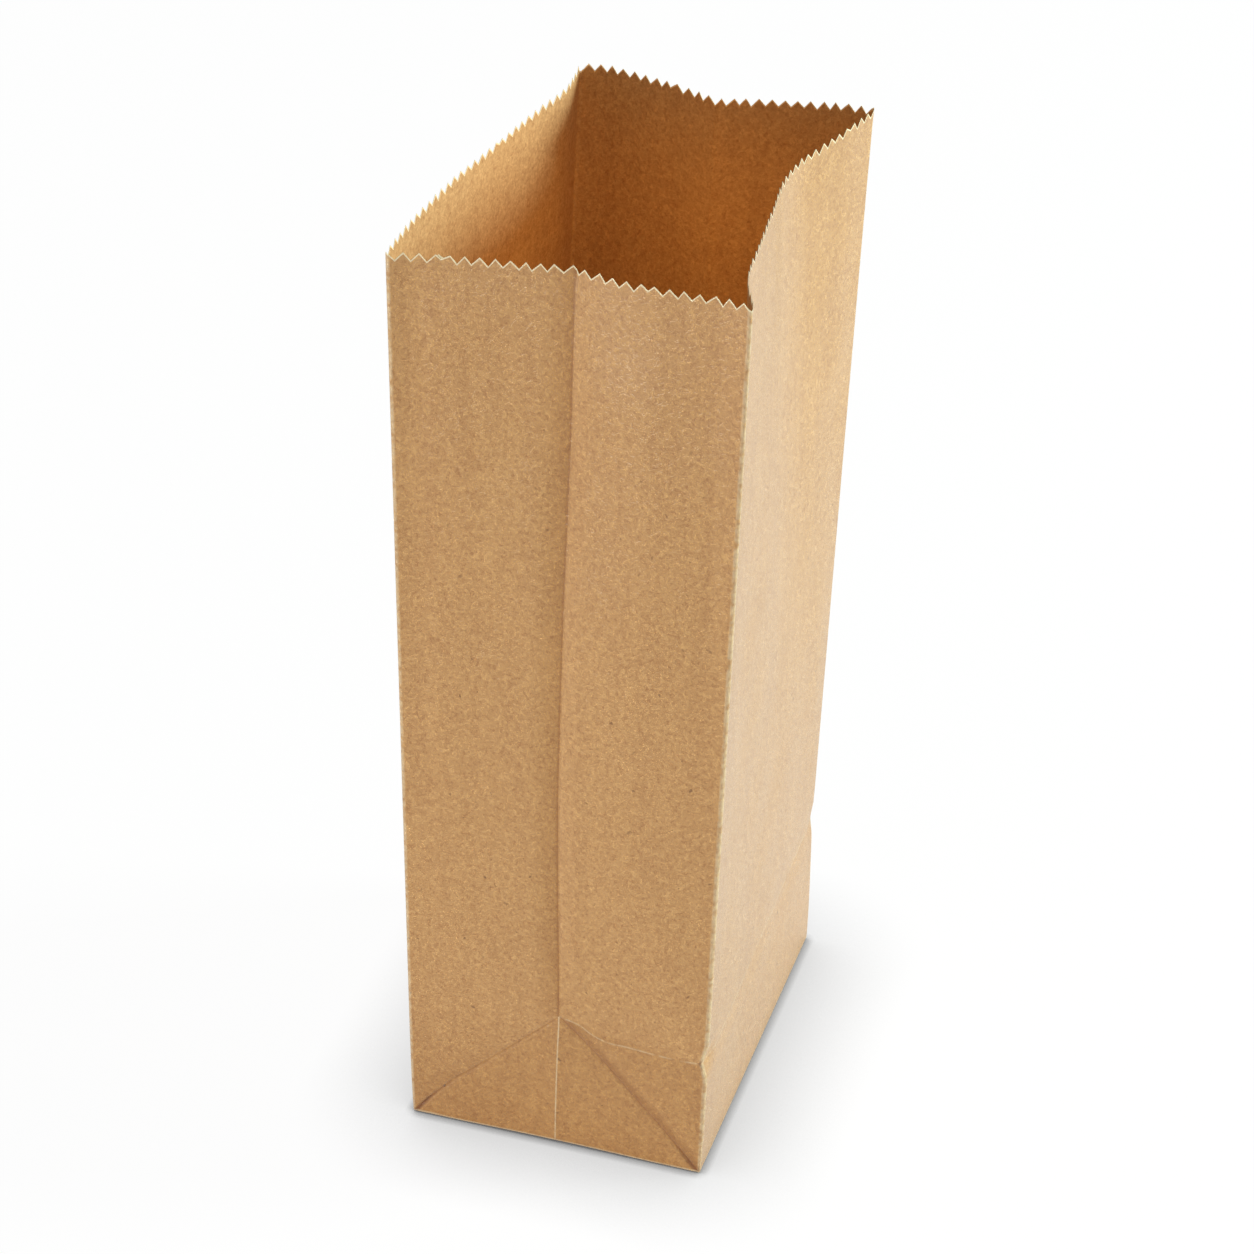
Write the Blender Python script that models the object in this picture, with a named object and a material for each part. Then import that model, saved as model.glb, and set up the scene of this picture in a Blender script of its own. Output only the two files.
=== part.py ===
"""Self-opening paper bag, folded from one sheet.

Two wide panels and two gusseted sides stand on a flat folded base. The mouth is
pinked, the sheet is closed by a glued lap along one gusset, and the creases of the
flat-folded bag still show near the base. Metres, +Z up, wide panels along X.
"""

import math

import bmesh
import bpy
from mathutils import Vector

# Size of the bag
BASE_WIDTH = 0.144
BASE_DEPTH = 0.106
BAG_HEIGHT = 0.344
SHEET = 0.00015

# Rounding of the folds, on the inside of the sheet
CORNER_RADIUS = 0.0006
BOTTOM_RADIUS = 0.0004

# Pinked edge
MOUTH_TEETH = 114
TOOTH_DEPTH = 0.0027
TOOTH_BAND = 0.0060

# Lap where the two edges of the sheet are glued, measured from the back-left corner
LAP_START = 0.0090
LAP_END = 0.0180
LAP_STEP = 0.0002
LAP_RAMP = 0.0006

# How far each corner of the open mouth stands from the corner of the base below it,
# in shares of the base's depth
MOUTH_CORNERS = (
    (-0.0462, 0.0349),
    (-0.0028, -0.0528),
    (0.0302, -0.0557),
    (0.0340, -0.0962),
)

# Inward push of the sheet at the mouth: share of the way along the side, and push in
# shares of the base's depth
LEFT_GUSSET_PUSH = (
    ((0.0, 0.0), (0.056, 0.0208), (0.215, 0.0462), (0.348, 0.0660), (0.5, 0.0830)),
    ((0.5, 0.0830), (0.60, 0.0491), (0.712, 0.0264), (0.847, 0.0226), (0.930, 0.0189), (1.0, 0.0)),
)
FRONT_PANEL_PUSH = (
    ((0.0, 0.0), (0.117, 0.0604), (0.298, 0.0953), (0.444, 0.1142), (0.570, 0.1330),
     (0.695, 0.1179), (0.817, 0.0726), (0.900, 0.0377), (1.0, 0.0)),
)
RIGHT_GUSSET_PUSH = (
    ((0.0, 0.0), (0.131, 0.0075), (0.314, 0.0472), (0.5, 0.1075)),
    ((0.5, 0.1075), (0.620, 0.0585), (0.755, 0.0189), (0.920, -0.0170), (1.0, 0.0)),
)
BACK_PANEL_PUSH = (
    ((0.0, 0.0), (0.126, 0.0264), (0.249, 0.0142), (0.431, -0.0047), (0.591, -0.0208),
     (0.746, -0.0236), (0.882, -0.0179), (1.0, 0.0)),
)
PUSH_POWER = 1.5

# The wall stands a little outside the edge of the base
SWELL = 0.0006
SWELL_HEIGHT = 0.012

# The crease down the left gusset wanders sideways between the base and the mouth
CREASE_WANDER = 0.0014

# Relief of the triangles folded into the foot of each gusset
DIAGONAL_DEPTH = 0.0006
RIDGE_HEIGHT = 0.0004

# Crease across the front panel where the base once lay folded against it
FRONT_CREASE_LEFT = 0.0492
FRONT_CREASE_RIGHT = 0.0556
FRONT_CREASE_DEPTH = 0.0009
FRONT_CREASE_REACH = 0.010
KINK_DEPTH = 0.0012
KINK_REACH = 0.0070
RIGHT_EDGE_BEND = 0.0020
RIGHT_EDGE_POWER = 0.7

# Glued flaps under the base
FLAP_LAP = 0.009
FLAP_INSET = 0.0005
FLAP_TOOTH = 0.0022

# How finely the sheet is divided
GUSSET_COLUMNS = 12
PANEL_COLUMNS = 16
# Rows above the fold, as shares of the way from the fold to the pinked band
UPPER_ROWS = (
    0.028, 0.060, 0.106, 0.166, 0.244, 0.329, 0.414, 0.499, 0.584,
    0.669, 0.747, 0.818, 0.882, 0.939, 1.0,
)

SIDE_LENGTHS = (BASE_DEPTH, BASE_WIDTH, BASE_DEPTH, BASE_WIDTH)
PERIMETER = sum(SIDE_LENGTHS)
PUSHES = (LEFT_GUSSET_PUSH, FRONT_PANEL_PUSH, RIGHT_GUSSET_PUSH, BACK_PANEL_PUSH)
DIRECTIONS = (Vector((0, -1)), Vector((1, 0)), Vector((0, 1)), Vector((-1, 0)))
OUTWARD = (Vector((-1, 0)), Vector((0, -1)), Vector((1, 0)), Vector((0, 1)))
CORNERS = (
    Vector((-BASE_WIDTH / 2, BASE_DEPTH / 2)),
    Vector((-BASE_WIDTH / 2, -BASE_DEPTH / 2)),
    Vector((BASE_WIDTH / 2, -BASE_DEPTH / 2)),
    Vector((BASE_WIDTH / 2, BASE_DEPTH / 2)),
)
FOLD_HEIGHT = BASE_DEPTH / 2
FLOOR_TOP = 3 * SHEET
RING_TOP = BAG_HEIGHT - TOOTH_DEPTH - TOOTH_BAND


def clear_scene():
    """Remove whatever the file holds at the start."""
    for thing in list(bpy.data.objects):
        bpy.data.objects.remove(thing, do_unlink=True)


def side_at(path):
    """Side number and distance along it for a distance along the whole outline."""
    path = path % PERIMETER
    for side, length in enumerate(SIDE_LENGTHS):
        if path < length:
            return side, path
        path -= length
    return 3, SIDE_LENGTHS[3]


def plan_point(path, inset):
    """Point of the rounded base outline, moved inwards by the inset."""
    side, along = side_at(path)
    length = SIDE_LENGTHS[side]
    start = CORNERS[side]
    if along < CORNER_RADIUS:
        before = (side - 1) % 4
        angle = math.pi / 4 * (1 + along / CORNER_RADIUS)
        return rounded_corner(start, before, side, angle, inset)
    if along > length - CORNER_RADIUS:
        after = (side + 1) % 4
        angle = math.pi / 4 * (1 - (length - along) / CORNER_RADIUS)
        return rounded_corner(CORNERS[after], side, after, angle, inset)
    return start + DIRECTIONS[side] * along - OUTWARD[side] * inset


def rounded_corner(corner, before, after, angle, inset):
    """Point on the small arc between two sides of the outline."""
    centre = corner - (OUTWARD[before] + OUTWARD[after]) * CORNER_RADIUS
    reach = CORNER_RADIUS - inset
    return centre + (OUTWARD[before] * math.cos(angle) + OUTWARD[after] * math.sin(angle)) * reach


def curve_value(points, share):
    """Smooth curve through the control points, with level slopes limited to its steps."""
    for index in range(len(points) - 1):
        left, right = points[index], points[index + 1]
        if share <= right[0]:
            width = right[0] - left[0]
            step = (share - left[0]) / width
            slope_in = curve_slope(points, index) * width
            slope_out = curve_slope(points, index + 1) * width
            square = step * step
            cube = square * step
            return (
                left[1] * (2 * cube - 3 * square + 1)
                + slope_in * (cube - 2 * square + step)
                + right[1] * (3 * square - 2 * cube)
                + slope_out * (cube - square)
            )
    return points[-1][1]


def curve_slope(points, index):
    """Slope at a control point: the slope of the chord between its neighbours."""
    low = max(index - 1, 0)
    high = min(index + 1, len(points) - 1)
    return (points[high][1] - points[low][1]) / (points[high][0] - points[low][0])


def mouth_push(side, share):
    """Inward push of the sheet at the mouth, in metres."""
    pieces = PUSHES[side]
    half = pieces[1] if len(pieces) == 2 and share > 0.5 else pieces[0]
    return BASE_DEPTH * curve_value(half, share)


def rise(height):
    """Share of the mouth's push that the wall has at a height."""
    return max(0.0, (height - FOLD_HEIGHT) / (BAG_HEIGHT - FOLD_HEIGHT)) ** PUSH_POWER


def near(value, centre, reach):
    """Bump that is one at the centre and fades to nothing at the reach."""
    gap = abs(value - centre) / reach
    return (1 - gap) ** 2 * (1 + 2 * gap) if gap < 1 else 0.0


def crease_height(side, share):
    """Height of the crease row: the gusset's fold point, or the front panel's crease."""
    if side == 0 and share > 0.5:
        return FOLD_HEIGHT + (FRONT_CREASE_LEFT - FOLD_HEIGHT) * (share - 0.5) * 2
    if side == 1:
        return FRONT_CREASE_LEFT + (FRONT_CREASE_RIGHT - FRONT_CREASE_LEFT) * share
    if side == 2 and share < 0.5:
        return FRONT_CREASE_RIGHT + (FOLD_HEIGHT - FRONT_CREASE_RIGHT) * share * 2
    return FOLD_HEIGHT


def corner_shift(corner, height):
    """Sideways shift of a corner fold at a height."""
    lean = Vector(MOUTH_CORNERS[corner]) * (BASE_DEPTH * height / BAG_HEIGHT)
    if corner == 1:
        lean.y += KINK_DEPTH * near(height, FRONT_CREASE_LEFT, KINK_REACH)
    if corner == 2:
        lean.y += KINK_DEPTH / 2 * near(height, FRONT_CREASE_RIGHT, KINK_REACH)
        below = height / FRONT_CREASE_RIGHT
        above = (BAG_HEIGHT - height) / (BAG_HEIGHT - FRONT_CREASE_RIGHT)
        lean.y += RIGHT_EDGE_BEND * min(below, max(above, 0.0) ** RIGHT_EDGE_POWER)
    return lean


def foot_relief(share, height):
    """Inward push of the folded triangles at the foot of a gusset."""
    if height >= FOLD_HEIGHT:
        return 0.0
    level = height / FOLD_HEIGHT
    across = 1 - abs(2 * share - 1)
    valley = DIAGONAL_DEPTH * max(0.0, 1 - abs(level - across) * 5)
    ridge = RIDGE_HEIGHT * max(0.0, 1 - abs(2 * share - 1) * 6)
    return (valley - ridge) * math.sin(math.pi * level)


def wall_point(path, height, inset=0.0):
    """Point on the inside of the sheet at a place on the outline and a height."""
    side, along = side_at(path)
    share = along / SIDE_LENGTHS[side]
    first = corner_shift(side, height)
    second = corner_shift((side + 1) % 4, height)
    push = mouth_push(side, share) * rise(height)
    if side in (0, 2):
        push += foot_relief(share, height)
    if side == 1:
        crease = crease_height(side, share)
        push += FRONT_CREASE_DEPTH * near(height, crease, FRONT_CREASE_REACH)
    swell = SWELL * (1 - math.exp(-max(0.0, height - FLOOR_TOP) / SWELL_HEIGHT))
    point = plan_point(path, inset - swell)
    point += first.lerp(second, share) - OUTWARD[side] * push
    if side == 0:
        span = max(0.0, (BAG_HEIGHT - height) / (BAG_HEIGHT - FOLD_HEIGHT))
        wander = math.sin(math.pi * min(1.0, span) ** 1.5) * near(share, 0.5, 0.45)
        point.y += CREASE_WANDER * wander
    return Vector((point.x, point.y, height))


def columns_of_outline():
    """Distances along the outline of every column of the sheet, with the folds on columns."""
    columns = []
    start = 0.0
    for side, length in enumerate(SIDE_LENGTHS):
        count = GUSSET_COLUMNS if side in (0, 2) else PANEL_COLUMNS
        columns.append(start)
        columns.append(start + CORNER_RADIUS)
        columns.extend(start + length * step / count for step in range(1, count))
        columns.append(start + length - CORNER_RADIUS)
        start += length
    columns.extend((LAP_START + LAP_STEP, LAP_END + LAP_RAMP))
    snapped = [snap_to_lap(value) for value in columns]
    return sorted(snapped)


def snap_to_lap(value):
    """Move the nearest column onto each edge of the lap."""
    for edge in (LAP_START, LAP_END):
        if abs(value - edge) < 0.0004 and abs(value - edge - LAP_STEP) > 1e-9:
            return edge
    return value


def layers_at(path, height):
    """Share of the double sheet that stands at a place: one inside the lap, else a half."""
    inside = LAP_START + LAP_STEP / 2 < path < LAP_END + LAP_RAMP / 2
    return 1.0 if inside and height > FLOOR_TOP + BOTTOM_RADIUS / 2 else 0.5


def facet_point(columns, path, height):
    """Point on the flat facet between the two columns on either side of a place."""
    left = max((value for value in columns if value <= path + 1e-9), default=0.0)
    right = min((value for value in columns if value > path + 1e-9), default=PERIMETER)
    share = (path - left) / (right - left)
    return wall_point(left, height).lerp(wall_point(right, height), share)


def pinked_ring(columns):
    """Outline distance and height of every point along the cut edge of the mouth."""
    half = PERIMETER / MOUTH_TEETH / 2
    places = [step * half for step in range(2 * MOUTH_TEETH)]
    folds = [0.0]
    for side, length in enumerate(SIDE_LENGTHS):
        if side in (0, 2):
            folds.append(sum(SIDE_LENGTHS[:side]) + length / 2)
        corner = sum(SIDE_LENGTHS[:side])
        folds.extend((corner, corner + CORNER_RADIUS, corner - CORNER_RADIUS))
    folds = [value % PERIMETER for value in folds]
    folds.extend(value for value in columns if LAP_START - 1e-9 < value < LAP_END + LAP_RAMP + 1e-9)
    for value in folds:
        if min(abs(value - other) for other in places) > 0.0001:
            places.append(value)
    ring = []
    for value in sorted(places):
        wave = abs((value / half) % 2 - 1)
        ring.append((value, BAG_HEIGHT - TOOTH_DEPTH * (1 - wave)))
    return ring


def zip_rings(mesh, lower, upper):
    """Fill between two closed rings whose points fall at different places."""
    count_low, count_up = len(lower), len(upper)
    low = up = 0
    while low < count_low or up < count_up:
        next_low = lower[low + 1][0] if low + 1 < count_low else PERIMETER
        next_up = upper[up + 1][0] if up + 1 < count_up else PERIMETER
        here_low = lower[low % count_low][1]
        here_up = upper[up % count_up][1]
        if up >= count_up or (low < count_low and next_low < next_up):
            mesh.faces.new((here_low, lower[(low + 1) % count_low][1], here_up))
            low += 1
        else:
            mesh.faces.new((here_low, upper[(up + 1) % count_up][1], here_up))
            up += 1


def split_quad(mesh, corners, side, share, height):
    """Two triangles for one patch, split along the fold that runs through it."""
    low_left, low_right, high_right, high_left = corners
    rising = side in (0, 2) and share < 0.5 and height < FOLD_HEIGHT
    if rising:
        mesh.faces.new((low_left, low_right, high_right))
        mesh.faces.new((low_left, high_right, high_left))
    else:
        mesh.faces.new((low_left, low_right, high_left))
        mesh.faces.new((low_right, high_right, high_left))


def build_sheet():
    """Inside face of the whole folded sheet, from the floor of the bag to its mouth."""
    mesh = bmesh.new()
    layer = mesh.verts.layers.deform.verify()
    columns = columns_of_outline()

    def add_vertex(point, path):
        vertex = mesh.verts.new(point)
        vertex[layer][0] = layers_at(path, point.z)
        return vertex

    def add_point(path, height, inset=0.0):
        return add_vertex(wall_point(path, height, inset), path)

    rings = []
    for angle in (math.pi / 2, math.pi / 4, 0.0):
        inset = BOTTOM_RADIUS * (1 - math.cos(angle))
        height = FLOOR_TOP + BOTTOM_RADIUS * (1 - math.sin(angle))
        rings.append([add_point(path, height, inset) for path in columns])
    for step in range(1, GUSSET_COLUMNS // 2):
        height = FOLD_HEIGHT * step * 2 / GUSSET_COLUMNS
        rings.append([add_point(path, height) for path in columns])
    crease_row = []
    for path in columns:
        side, along = side_at(path)
        crease_row.append(add_point(path, crease_height(side, along / SIDE_LENGTHS[side])))
    rings.append(crease_row)
    for share in UPPER_ROWS:
        height = FOLD_HEIGHT + (RING_TOP - FOLD_HEIGHT) * share
        rings.append([add_point(path, height) for path in columns])

    count = len(columns)
    for lower, upper in zip(rings, rings[1:]):
        for index in range(count):
            after = (index + 1) % count
            side, along = side_at(columns[index])
            share = (along + 0.0001) / SIDE_LENGTHS[side]
            corners = (lower[index], lower[after], upper[after], upper[index])
            split_quad(mesh, corners, side, share, lower[index].co.z)
    mesh.faces.new(list(reversed(rings[0])))

    edge = []
    for path, height in pinked_ring(columns):
        edge.append((path, add_vertex(facet_point(columns, path, height), path)))
    zip_rings(mesh, list(zip(columns, rings[-1])), edge)
    bmesh.ops.triangulate(mesh, faces=[face for face in mesh.faces if len(face.verts) > 3])
    bmesh.ops.recalc_face_normals(mesh, faces=mesh.faces)
    return mesh


def new_object(name, mesh):
    """Object in the scene made from a mesh under construction."""
    data = bpy.data.meshes.new(name)
    mesh.to_mesh(data)
    mesh.free()
    thing = bpy.data.objects.new(name, data)
    bpy.context.scene.collection.objects.link(thing)
    return thing


def flap_outline(direction):
    """Trapezium of one glued flap, with 45 degree folds at its ends and a pinked free edge."""
    length = BASE_DEPTH / 2 + FLAP_LAP
    left = BASE_WIDTH / 2 - FLAP_INSET
    fold = BASE_DEPTH / 2 - FLAP_INSET
    end = BASE_WIDTH / 2 - length
    free = length - BASE_DEPTH / 2
    points = [(-left, -fold), (left, -fold), (end, free)]
    teeth = round(2 * end / (PERIMETER / MOUTH_TEETH))
    for step in range(1, 2 * teeth):
        across = end - end * step / teeth
        points.append((across, free - (FLAP_TOOTH if step % 2 else 0.0)))
    points.append((-end, free))
    return [(x * direction, y * direction) for x, y in points]


def build_flap(name, direction, bottom):
    """Thin plate of one flap, reaching up into the sheet of the base above it."""
    mesh = bmesh.new()
    lower = [mesh.verts.new((x, y, bottom)) for x, y in flap_outline(direction)]
    face = mesh.faces.new(lower)
    raised = bmesh.ops.extrude_face_region(mesh, geom=[face])
    moved = [item for item in raised["geom"] if isinstance(item, bmesh.types.BMVert)]
    top = FLOOR_TOP - SHEET / 2
    bmesh.ops.translate(mesh, verts=moved, vec=(0, 0, top - bottom))
    bmesh.ops.recalc_face_normals(mesh, faces=mesh.faces)
    flap = new_object(name, mesh)
    flap.hide_render = True
    flap.display_type = "WIRE"
    return flap


def kraft_material():
    """Plain brown paper."""
    material = bpy.data.materials.new("kraft_paper")
    material.use_nodes = True
    shader = material.node_tree.nodes["Principled BSDF"]
    shader.inputs["Base Color"].default_value = (0.53, 0.32, 0.15, 1.0)
    shader.inputs["Roughness"].default_value = 0.85
    shader.inputs["Metallic"].default_value = 0.0
    return material


def main():
    """Build the bag as one object."""
    clear_scene()
    bag = new_object("paper_bag", build_sheet())
    bag.data.materials.append(kraft_material())
    bag.vertex_groups.new(name="layers")

    thickness = bag.modifiers.new("sheet thickness", "SOLIDIFY")
    thickness.thickness = 2 * SHEET
    thickness.offset = 1.0
    thickness.use_even_offset = True
    thickness.use_rim = True
    thickness.vertex_group = "layers"

    flaps = (
        build_flap("back_flap", -1, SHEET),
        build_flap("front_flap", 1, 0.0),
    )
    for flap in flaps:
        joined = bag.modifiers.new(flap.name, "BOOLEAN")
        joined.operation = "UNION"
        joined.solver = "EXACT"
        joined.object = flap


main()
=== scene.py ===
import math
from collections import namedtuple

import bpy
import numpy as np
from bpy.props import FloatProperty, FloatVectorProperty, IntProperty, PointerProperty
from mathutils import Matrix, Vector


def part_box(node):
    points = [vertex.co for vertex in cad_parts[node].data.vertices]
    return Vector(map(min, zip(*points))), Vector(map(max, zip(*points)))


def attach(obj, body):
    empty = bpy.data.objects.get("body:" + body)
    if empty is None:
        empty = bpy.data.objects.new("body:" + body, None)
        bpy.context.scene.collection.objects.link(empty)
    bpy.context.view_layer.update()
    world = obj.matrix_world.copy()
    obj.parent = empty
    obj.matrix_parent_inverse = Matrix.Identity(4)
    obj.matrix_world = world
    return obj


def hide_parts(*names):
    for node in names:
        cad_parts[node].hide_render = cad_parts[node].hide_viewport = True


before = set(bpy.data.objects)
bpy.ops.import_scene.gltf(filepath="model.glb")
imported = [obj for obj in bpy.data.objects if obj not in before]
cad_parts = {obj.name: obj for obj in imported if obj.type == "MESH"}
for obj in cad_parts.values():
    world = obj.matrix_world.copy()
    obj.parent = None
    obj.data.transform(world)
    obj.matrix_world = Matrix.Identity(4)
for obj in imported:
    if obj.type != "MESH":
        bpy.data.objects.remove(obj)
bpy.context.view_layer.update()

bl_info = {
    "name": "Folded paper bag",
    "version": (1, 0, 0),
    "blender": (4, 5, 0),
    "location": "View3D > Sidebar > Paper bag",
    "description": "Folds an open brown paper bag from one creased sheet and lights it",
    "category": "Add Mesh",
}

# Box of the plain model, kept from before any new piece is made
CAD_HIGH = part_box("paper_bag")[1]

# Columns of the sheet round the bag: left gusset, front panel, right gusset, back panel.
# Four columns make one tooth, so each side holds a whole number of half teeth.
SIDE_COLUMNS = (98, 130, 98, 130)
CORNER_OFFSETS = (0.00018, 0.0004, 0.0006)
COLUMNS_PER_TOOTH = 4

# Direction of each side round the bag, and the direction outward from it
ALONG = np.array(((0, -1), (1, 0), (0, 1), (-1, 0)), float)
OUTWARD = np.array(((-1, 0), (0, -1), (1, 0), (0, 1)), float)

# Width of a line one column wide, in columns
LINE_WIDTH = 1.01

# Teeth of the cut: their pitch, spread of the tips' heights and of their places along the edge,
# the length beside a fold over which the places settle, and the notches, numbered in half teeth
# from the back-left fold, that are cut less deep
TOOTH_PITCH = 0.0044
TOOTH_UNEVEN = 0.00016
TOOTH_WANDER = 0.00026
EDGE_CALM = 0.004
UNEVEN_NOTCHES = ((7, 0.0010), (35, 0.0010), (107, 0.0012), (147, 0.0008), (191, 0.0011))

# Rows of the sheet: the rounded bottom fold, the folded foot, the plain wall, the cut edge
FOLD_ANGLES = (90.0, 67.5, 45.0, 22.5, 0.0)
WALL_ROWS = 37
ROWS_BELOW_EDGE = (0.0145, 0.0108, 0.0075)

# How far each corner of the open mouth stands from the corner of the base below it,
# in shares of the base's depth
MOUTH_CORNERS = (
    (-0.0462, 0.0349),
    (-0.0028, -0.0528),
    (0.0302, -0.0557),
    (0.0340, -0.0962),
)

# Inward push of the sheet at the mouth: share of the way along the side, and push in
# shares of the base's depth. A gusset has one table for each half.
MOUTH_PUSH = (
    (
        ((0.0, 0.0), (0.056, 0.0208), (0.215, 0.0462), (0.348, 0.0660), (0.5, 0.0830)),
        ((0.5, 0.0830), (0.60, 0.0491), (0.712, 0.0264), (0.847, 0.0226), (0.930, 0.0189),
         (1.0, 0.0)),
    ),
    (
        ((0.0, 0.0), (0.117, 0.0604), (0.298, 0.0953), (0.444, 0.1142), (0.570, 0.1330),
         (0.695, 0.1179), (0.817, 0.0726), (0.900, 0.0377), (1.0, 0.0)),
    ),
    (
        ((0.0, 0.0), (0.131, 0.0075), (0.314, 0.0472), (0.5, 0.1075)),
        ((0.5, 0.1075), (0.620, 0.0585), (0.755, 0.0189), (0.920, -0.0170), (1.0, 0.0)),
    ),
    (
        ((0.0, 0.0), (0.126, 0.0264), (0.249, 0.0142), (0.431, -0.0047), (0.591, -0.0208),
         (0.746, -0.0236), (0.882, -0.0179), (1.0, 0.0)),
    ),
)
PUSH_POWER = 1.5

# The wall stands a little outside the edge of the base
SWELL = 0.0006
SWELL_HEIGHT = 0.012

# Crease across the front panel, and the kinks where it meets the vertical folds
FRONT_CREASE_LEFT = 0.0492
FRONT_CREASE_RIGHT = 0.0556
FRONT_CREASE_DEPTH = 0.0004
FRONT_CREASE_REACH = 0.010
FRONT_LINE_DEPTH = 0.00008
FRONT_LINE_REACH = 0.0024
FRONT_LINE_SPREAD = (0.75, 0.7)
CREASE_FADE = 0.036
KINK_DEPTH = 0.0012
KINK_REACH = 0.0070
KINK_NICK = 0.0006
NICK_RISE = 0.0004
NICK_REACH = 0.0016
KINK_FADE = 0.012
RIGHT_EDGE_BEND = 0.0020
RIGHT_EDGE_POWER = 0.7
CREASE_WANDER = 0.0014
CREASE_WANDER_POWER = 1.5

# Soft wrinkles that fan out from the front crease's right-hand end: depth, rise over the panel,
# start above that end, reach, and where along the panel each is strongest and how widely
WRINKLES = (
    (-0.00025, 0.024, 0.0, 0.0042, 0.80, 0.55),
    (-0.00014, 0.006, -0.004, 0.0045, 0.72, 0.42),
)

# Relief of the folds of a gusset: the diagonals and the pockets at their lower ends, the ridge
# up the foot and the crease above it. A ramp is a length and the height at which it starts.
DIAGONAL_DEPTH = 0.0006
DIAGONAL_REACH = 0.0106
DIAGONAL_NICK = 0.00040
DIAGONAL_START = 12
CREVICE_DEPTH = 0.0018
CREVICE_PLACE = 0.0022
CREVICE_REACH = 0.0080
CREVICE_RAMP = (0.003, 0.0014)
RIDGE_HEIGHT = 0.0004
RIDGE_REACH = 0.0088
RIDGE_NICK = 0.0002
CREASE_NICK = 0.00030
CREASE_START = 0.01
FAR_CREASE = 0.4

# Steeper strip on each side of the crease down the middle of a gusset, above the foot
CREASE_STRIP_DEPTH = 0.0013
CREASE_STRIP_BEFORE = 0.0095
CREASE_STRIP_AFTER = 0.0070
CREASE_STRIP_POWER = 1.3
CREASE_STRIP_START = 0.03
CREASE_STRIP_END = 0.06
CREASE_STRIP_LEAST = 0.3

# Waves of the flat parts: steepness round the bag and up it, weight and shift of the seed for
# each sum of sines, and the lengths over which they start beside a fold and above the base
WAVES = ((95, 70, 1.0, 3), (230, 150, 0.5, 4))
WAVE_CALM = 0.012
WAVE_RAMP = (0.03, 0.004)

# Outward bulge of the near gusset between its crease and the front fold, and how far from the
# foot and the mouth it fades
GUSSET_BULGE = 0.0015
BULGE_FADE_LOW = 0.05
BULGE_FADE_HIGH = 0.12

# How far each diagonal fold bows away from a straight line: share of the way from the
# corner to the fold point, and bow in metres
LEFT_BOW = ((0.0, 0.0), (0.15, 0.0017), (0.30, 0.0025), (0.50, 0.0014), (0.75, 0.0006), (1.0, 0.0))
RIGHT_BOW = ((0.0, 0.0), (0.12, 0.0006), (0.26, 0.0011), (0.50, 0.0012), (0.80, 0.0016), (1.0, 0.0))
BOW_REACH = 0.016
BOW_START = 0.004

# The point where the folds of a gusset meet stands higher than half the depth, and to one side
POINT_RISE = 0.0040
POINT_FADE = 0.050
POINT_SHIFT = 0.0009
SHIFT_FADE = 0.10

# Bottom edge of a gusset, lifted off the floor between its two corners, and the flat part of
# the base as a share of the whole
EDGE_LIFT = 0.0006
EDGE_LIFT_HEIGHT = 0.022
BASE_FLAT = 0.93

# Glued lap of the sheet's two edges, measured from the back-left corner, and the ramp at its foot
LAP_START = 0.0090
LAP_END = 0.0180
LAP_FADE = 0.0080
LAP_RAMP = 0.0030
LAP_FOOT = (0.004, 0.003)

# Glued flaps under the base, with their thickness as a share of the sheet's
FLAP_LAP = 0.009
FLAP_INSET = 0.0005
FLAP_TOOTH = 0.0022
FLAP_ROWS = 24
FLAP_THICKNESS = 0.98

# Depth below the cut edge past which it no longer matters, and places on the unfolded sheet,
# clear of every fold line, for the base and for the flaps and the lap's inner edge
FAR_BELOW = 0.02
BASE_TEXTURE = (0.0, -0.05)
PLATE_TEXTURE = 0.05

# Pulp: layers of its tone, each with noise scale, detail, roughness and weight
TONE_LAYERS = ((34.0, 2.0, 0.5, 0.24), (260.0, 1.0, 0.6, 0.44), (1000.0, 1.0, 0.6, 0.9))

# Fibres in the pulp: width of a strand as a range of the noise, scale of the patches that hold
# light or dark ones, and for each kind noise scale, twist, range of the patches, and weight
STRAND_WIDTH = (0.038, 0.08075)
STRAND_PARTS = 640.0
LIGHT_STRANDS = (500.0, 1.2, 0.46, 0.62)
LIGHT_WEIGHT = 0.42
DARK_STRANDS = (660.0, 1.5, 0.38, 0.54)
DARK_WEIGHT = -0.38

# Bark flecks: cells to a metre, how far noise bends them, the draw above which a cell has a
# fleck, and the slope and start of the fleck's size and strength over the cell's other draws
FLECK_SCALE = 250.0
FLECK_BEND = 0.0022
FLECK_LIMIT = 0.80
FLECK_SIZE = (0.11, 0.045)
FLECK_STRENGTH = (0.75, 0.2)

# Streaks along the paper's length: noise to a metre round the bag and up it
STREAK_SCALE = (190.0, 9.0, 1.0)

# Lines of the folds: half widths in metres, the level crease's sag over the front panel as
# share and depth, and weights of the soft painted shades
RIDGE_LINE = 0.0004
CREASE_LINE = 0.0011
DIAGONAL_LINE = 0.00075
CREASE_SAG = ((0.14, 0.34), (0.31, 0.88), (0.47, 0.70), (0.73, 0.44))
BAND_SHADE = 0.80
FOOT_SHADE = 0.78
STRIP_SHADE = 0.80

# Colour of a fold's soft painted shade and of the painted shade of its deepest part, as shares
# of the paper's own red, green and blue, and the strength of the lines at which the deepest part
# starts
FOLD_SHADE = (0.71, 0.57, 0.22)
DEEP_SHADE = (0.42, 0.24, 0.03)
DEEP_START = 0.78

# Pale band beside the cut edge, partly torn fibres and partly a painted highlight of the rim:
# where it starts and stops to fade
TORN_FIBRES_AND_RIM_HIGHLIGHT = (0.00038, 0.00068)
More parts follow.
